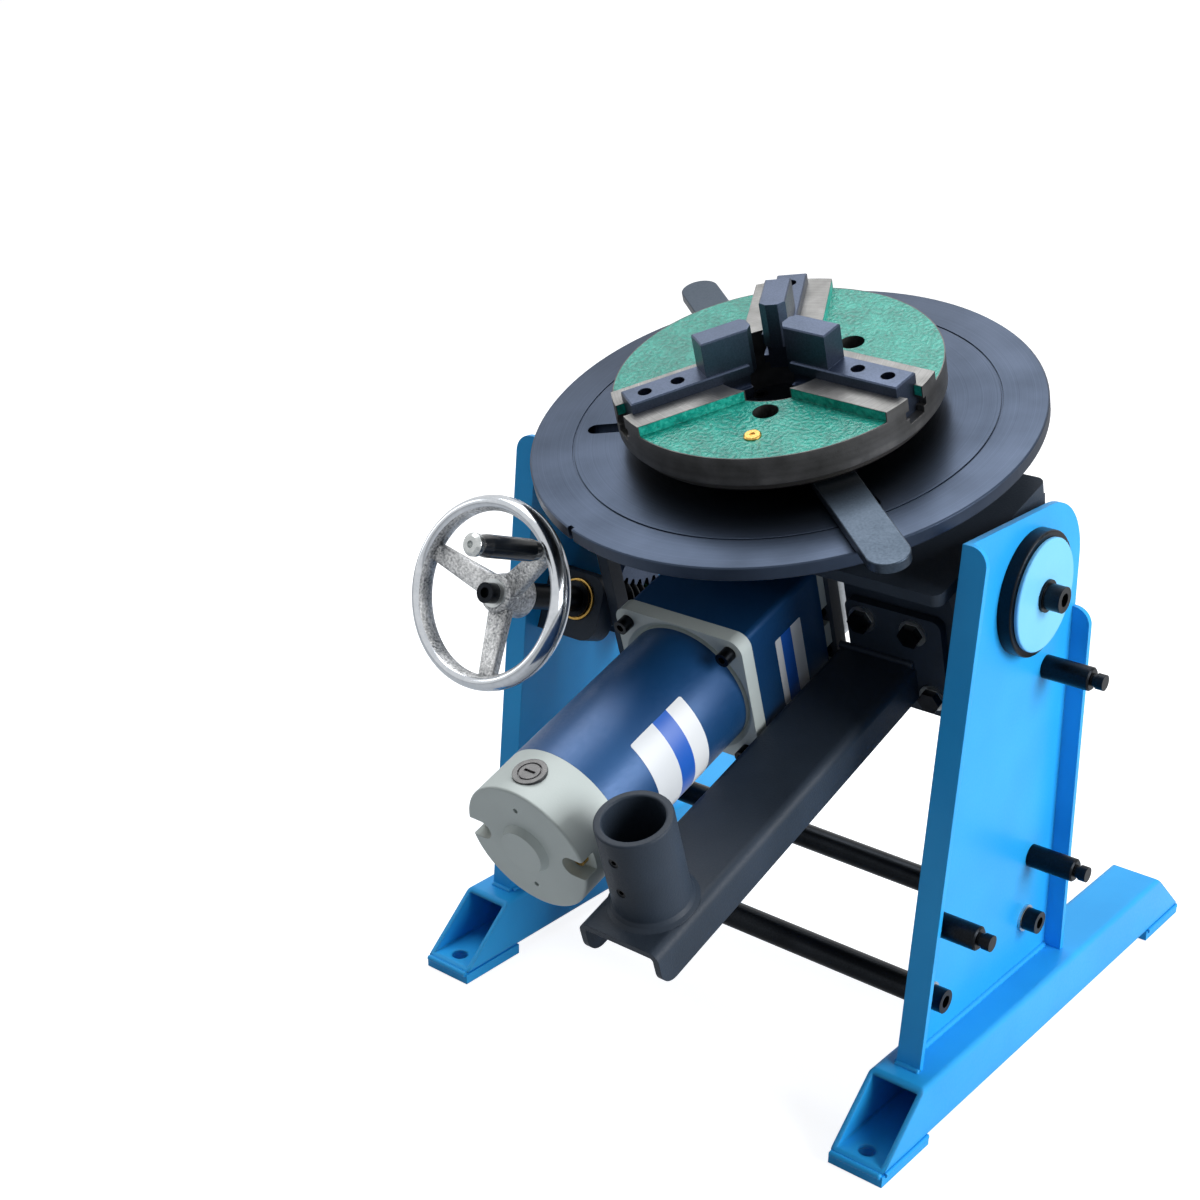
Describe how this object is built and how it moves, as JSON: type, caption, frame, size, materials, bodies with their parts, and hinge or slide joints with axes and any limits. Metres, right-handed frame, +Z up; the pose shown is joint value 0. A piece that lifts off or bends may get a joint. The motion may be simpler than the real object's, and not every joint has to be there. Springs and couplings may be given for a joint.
{
  "type": "welding positioner",
  "caption": "Bench welding positioner: worm-driven tilting cradle, motor-driven round table with a lever scroll chuck, and a torch arm, on a steel stand.",
  "frame": {"origin": "middle of the four foot bolt holes, on the floor", "axes": "+Z up, +X along the tilt axis to the operator's right, -Y towards the operator and the handwheel"},
  "size_m": [0.3855, 0.5378, 0.4783],
  "materials": {
    "blue_paint": "gloss",
    "light_blue_paint": "satin",
    "black_coat": "matt",
    "black_oxide": "satin",
    "table_steel": "turned",
    "bearing_steel": "ground",
    "zinc_steel": "bright",
    "cast_iron": "ground",
    "jaw_steel": "ground",
    "motor_paint": "satin",
    "cast_aluminium": "cast",
    "plate_aluminium": "milled",
    "chrome": "polished and cast",
    "brass": "turned",
    "black_plastic": "matt"
  },
  "bodies": {
    "stand": {"foot_beam_right": "blue_paint", "foot_beam_left": "blue_paint", "foot_pads": "blue_paint", "side_plate_right": "blue_paint", "side_plate_left": "blue_paint", "tie_rod_front": "black_oxide", "tie_rod_rear": "black_oxide", "tie_rod_fasteners": "black_oxide", "hanger_posts": "black_oxide", "pivot_bushes": "black_oxide", "thrust_washers": "brass", "worm_blocks": "black_coat", "worm_bushings": "brass", "worm_block_screws": "black_oxide"},
    "tilt_head": {"cradle_deck": "black_coat", "cheek_right": "black_coat", "cheek_left": "black_coat", "trunnion_pins": "bearing_steel", "cap_discs": "light_blue_paint", "cap_fasteners": "black_oxide", "worm_sector": "bearing_steel", "sector_screws": "black_oxide", "bearing_housing": "cast_iron", "housing_screws": "black_oxide", "bearing_outer_rings": "bearing_steel", "adapter_plate": "plate_aluminium", "mount_plate": "black_coat", "gearbox_end": "cast_aluminium", "gearbox": "motor_paint", "motor_flange": "cast_aluminium", "motor_barrel": "motor_paint", "motor_end_cap": "cast_aluminium", "brush_caps": "black_plastic", "motor_through_bolts": "brass", "motor_screws": "black_oxide", "arm_hanger": "black_coat", "torch_arm": "black_coat", "arm_fasteners": "black_oxide", "socket_set_screws": "zinc_steel", "guard_bar": "black_coat"},
    "table": {"turntable": "table_steel", "spindle": "bearing_steel", "spindle_fasteners": "black_oxide", "bearing_inner_rings": "bearing_steel", "table_gear": "bearing_steel", "chuck_body": "cast_iron", "chuck_fasteners": "black_oxide", "grease_nipple": "brass"},
    "output_pinion": {"output_pinion": "bearing_steel"},
    "scroll": {"scroll_plate": "cast_iron", "scroll_handles": "table_steel"},
    "jaw_1": {"jaw_1": "jaw_steel"},
    "jaw_2": {"jaw_2": "jaw_steel"},
    "jaw_3": {"jaw_3": "jaw_steel"},
    "handwheel": {"handwheel": "chrome", "worm_shaft": "bearing_steel", "hub_fasteners": "black_oxide", "grip_stud": "zinc_steel"},
    "grip": {"grip": "black_plastic"}
  },
  "joints": [
    {"name": "tilt", "type": "hinge", "parent": "stand", "child": "tilt_head", "pos_m": [0, -0.048, 0.3175], "axis": [-1, 0, 0], "range_deg": [0, 109]},
    {"name": "handwheel_turn", "type": "hinge", "parent": "stand", "child": "handwheel", "pos_m": [-0.127, -0.07205, 0.24435], "axis": [0, 0.95, -0.3123], "continuous": true},
    {"name": "grip_turn", "type": "hinge", "parent": "handwheel", "child": "grip", "pos_m": [-0.0897, -0.22715, 0.33196], "axis": [0, -0.95, 0.3123], "continuous": true},
    {"name": "table_spin", "type": "hinge", "parent": "tilt_head", "child": "table", "pos_m": [0, -0.048, 0.3175], "axis": [0, -0.3256, 0.9455], "continuous": true},
    {"name": "pinion_spin", "type": "hinge", "parent": "tilt_head", "child": "output_pinion", "pos_m": [0, -0.03921, 0.29197], "axis": [0, -0.9455, -0.3256], "continuous": true},
    {"name": "scroll_turn", "type": "hinge", "parent": "table", "child": "scroll", "pos_m": [0, -0.07619, 0.39938], "axis": [0, 0.3256, -0.9455], "range_deg": [-270, 216]},
    {"name": "jaw_1_slide", "type": "slide", "parent": "table", "child": "jaw_1", "axis": [0.9981, -0.0577, -0.0199], "range_m": [-0.00751, 0.00601]},
    {"name": "jaw_2_slide", "type": "slide", "parent": "table", "child": "jaw_2", "axis": [-0.5519, -0.7885, -0.2715], "range_m": [-0.00751, 0.00601]},
    {"name": "jaw_3_slide", "type": "slide", "parent": "table", "child": "jaw_3", "axis": [-0.4462, 0.8462, 0.2914], "range_m": [-0.00751, 0.00601]}
  ],
  "couplings": [
    {"joint": "pinion_spin", "follows": "table_spin", "ratio": -2},
    {"joint": "jaw_1_slide", "follows": "scroll_turn", "m_per_rad": 0.0015915},
    {"joint": "jaw_2_slide", "follows": "scroll_turn", "m_per_rad": 0.0015915},
    {"joint": "jaw_3_slide", "follows": "scroll_turn", "m_per_rad": 0.0015915},
    {"joint": "handwheel_turn", "follows": "tilt", "ratio": 50}
  ]
}
